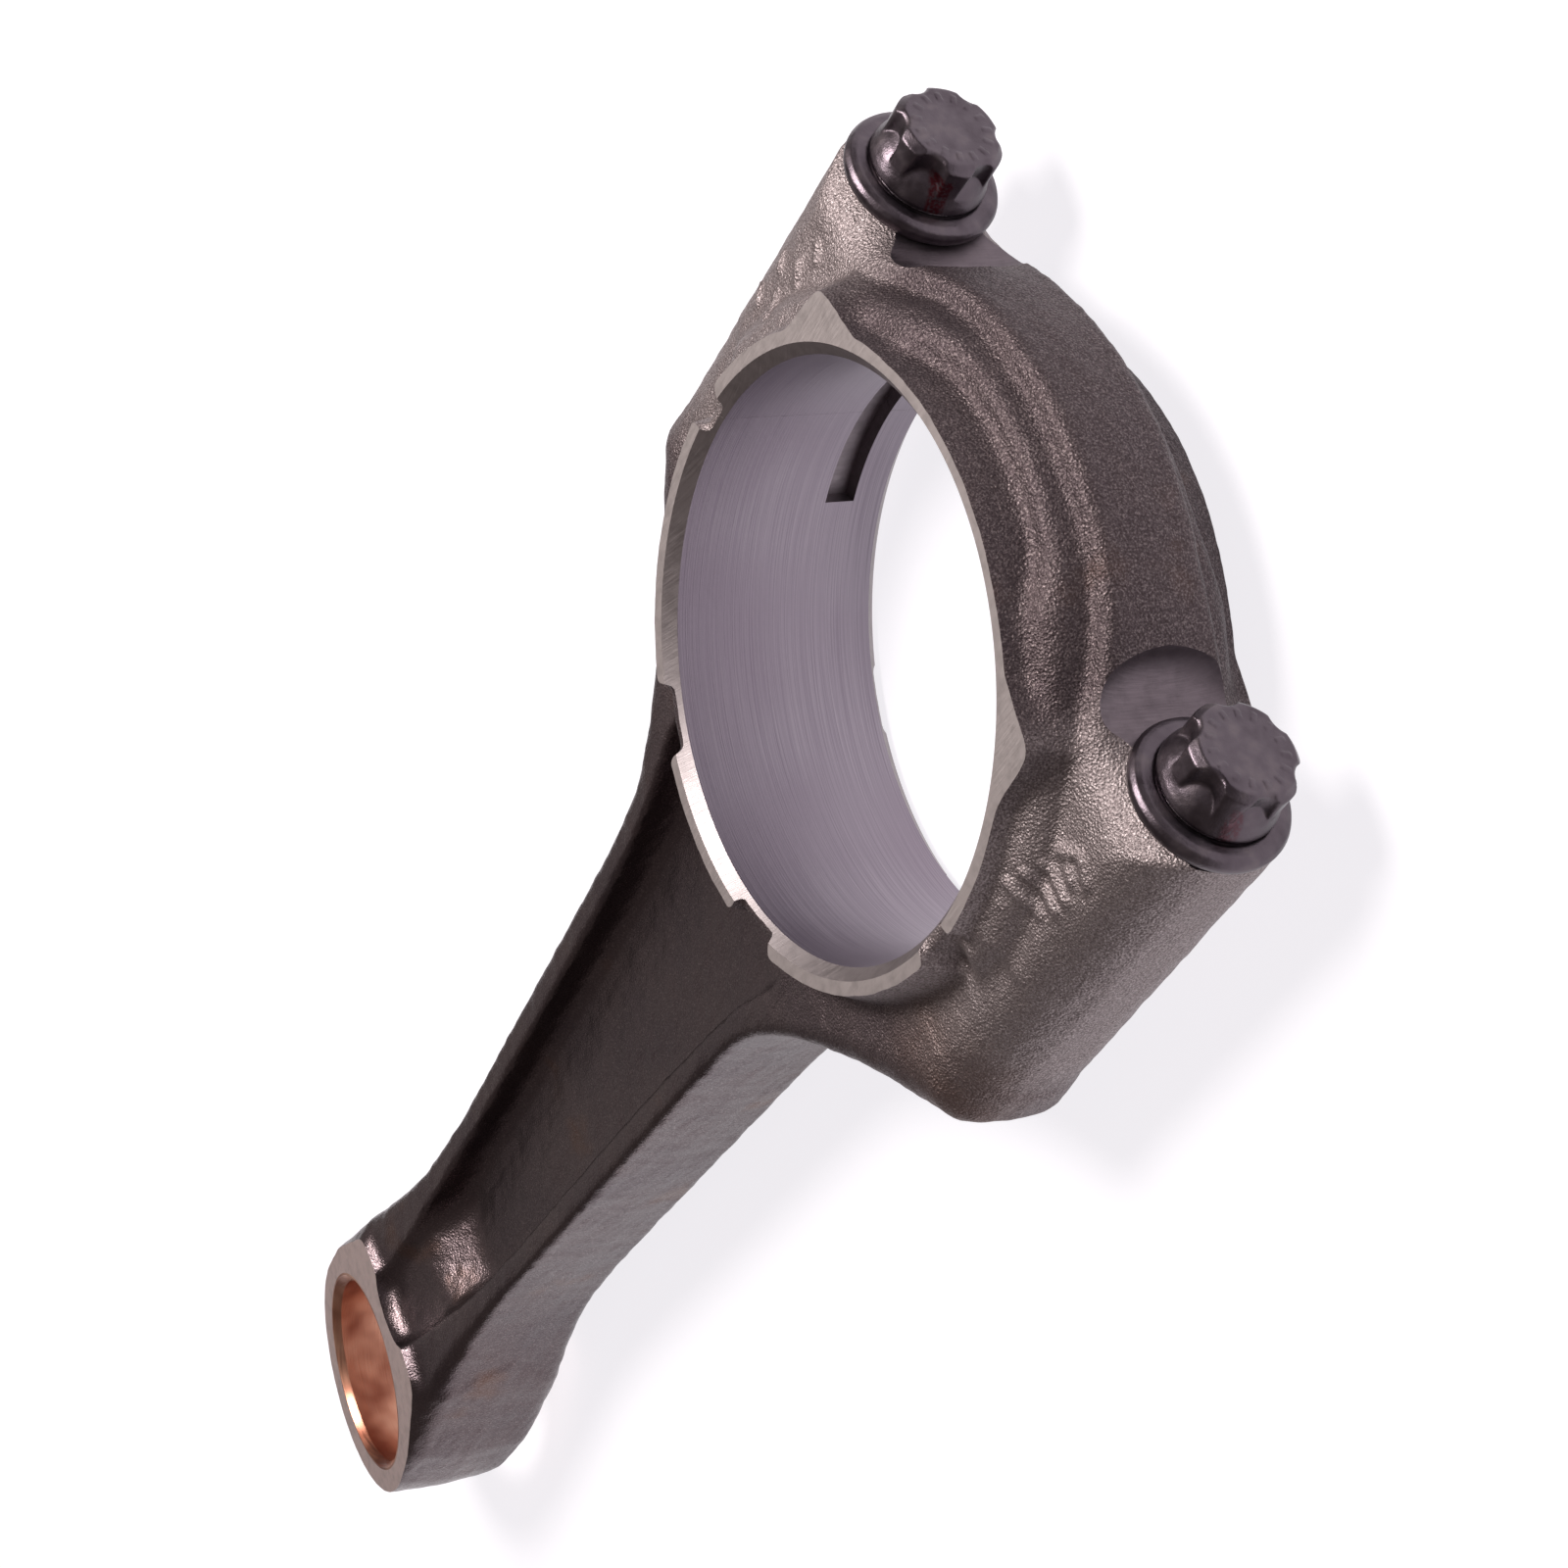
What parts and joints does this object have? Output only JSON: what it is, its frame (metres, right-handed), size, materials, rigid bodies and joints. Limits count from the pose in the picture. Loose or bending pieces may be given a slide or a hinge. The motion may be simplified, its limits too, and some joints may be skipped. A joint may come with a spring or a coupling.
{
  "type": "connecting rod",
  "caption": "Forged I-beam connecting rod with a split big end, flanged cap bolts and a tapered small end holding a bronze pin bush.",
  "frame": {"origin": "centre of the big-end housing bore, at mid width", "axes": "+X along the beam to the small end, +Y across the bolts, +Z along the big-end bore"},
  "size_m": [0.194, 0.078, 0.023],
  "materials": {
    "forged_steel": "shot-blasted forging with ground thrust and bore faces",
    "forged_steel_cap": "shot-blasted forging with ground thrust and bore faces",
    "bronze": "fine-bored copper-coloured bronze",
    "bolt_steel": "oiled dark steel"
  },
  "bodies": {
    "rod_body": {"rod": "forged_steel", "pin_bush": "bronze"},
    "cap_body": {"big_end_cap": "forged_steel_cap"},
    "bolt_1_body": {"cap_bolt_1": "bolt_steel"},
    "bolt_2_body": {"cap_bolt_2": "bolt_steel"}
  },
  "joints": [
    {"name": "cap_lift", "type": "slide", "parent": "rod_body", "child": "cap_body", "axis": [-1, 0, 0], "range_m": [0, 0.045]},
    {"name": "bolt_1_withdraw", "type": "slide", "parent": "cap_body", "child": "bolt_1_body", "axis": [-1, 0, 0], "range_m": [0, 0.042]},
    {"name": "bolt_2_withdraw", "type": "slide", "parent": "cap_body", "child": "bolt_2_body", "axis": [-1, 0, 0], "range_m": [0, 0.042]}
  ]
}
